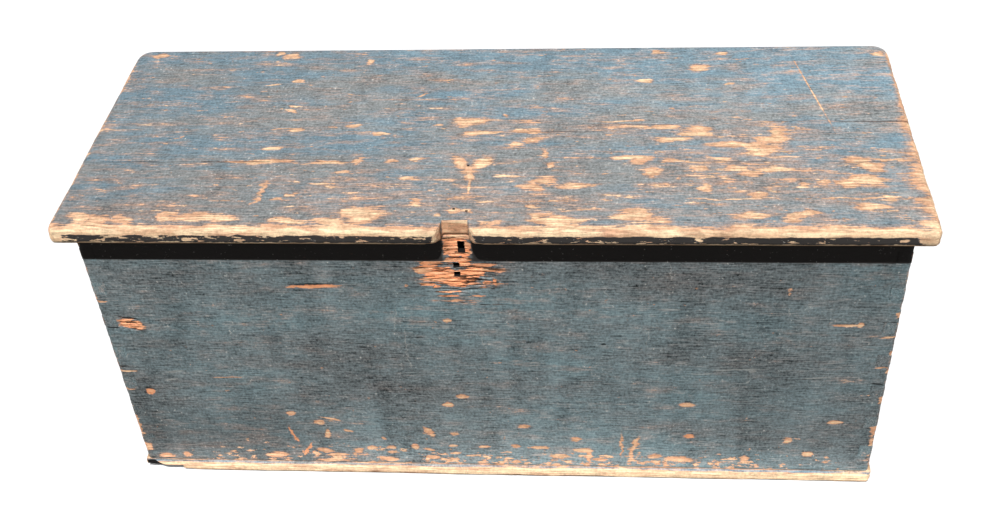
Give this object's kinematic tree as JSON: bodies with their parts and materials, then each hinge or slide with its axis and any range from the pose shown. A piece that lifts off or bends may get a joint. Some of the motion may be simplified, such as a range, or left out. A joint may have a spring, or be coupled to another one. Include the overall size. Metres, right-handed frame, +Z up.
{
  "type": "blanket chest",
  "caption": "Low oblong pine blanket chest: dovetailed case on a projecting bottom, with an overhanging lid on strap hinges that is notched in front for a hasp.",
  "frame": {"origin": "on the floor, under the middle of the lid's plan", "axes": "+X along the chest to its right end, +Y from front to back, +Z up"},
  "size_m": [1.092, 0.436, 0.461],
  "materials": {
    "painted_pine": "old blue-grey oil paint, worn through to bare pine at edges",
    "bare_pine": "bare, aged, unfinished pine",
    "wrought_iron": "hand-forged, dark and rusted"
  },
  "bodies": {
    "case": {"front_board": "painted_pine", "back_board": "painted_pine", "left_end_board": "painted_pine", "right_end_board": "painted_pine", "bottom_front_plank": "bare_pine", "bottom_back_plank": "bare_pine", "hinge_leaf_left": "wrought_iron", "hinge_leaf_right": "wrought_iron", "hinge_pin_left": "wrought_iron", "hinge_pin_right": "wrought_iron", "leaf_nails_left": "wrought_iron", "leaf_nails_right": "wrought_iron", "bottom_nails_front": "wrought_iron", "bottom_nails_back": "wrought_iron", "bottom_nails_left": "wrought_iron", "bottom_nails_right": "wrought_iron"},
    "lid": {"lid_front_board": "painted_pine", "lid_back_board": "painted_pine", "hinge_strap_left": "wrought_iron", "hinge_strap_right": "wrought_iron", "strap_nails_left": "wrought_iron", "strap_nails_right": "wrought_iron", "hasp_nail_stubs": "wrought_iron"}
  },
  "joints": [
    {"name": "lid_hinge", "type": "hinge", "parent": "case", "child": "lid", "pos_m": [0, 0.21225, 0.43775], "axis": [-1, 0, 0], "range_deg": [0, 110]}
  ]
}
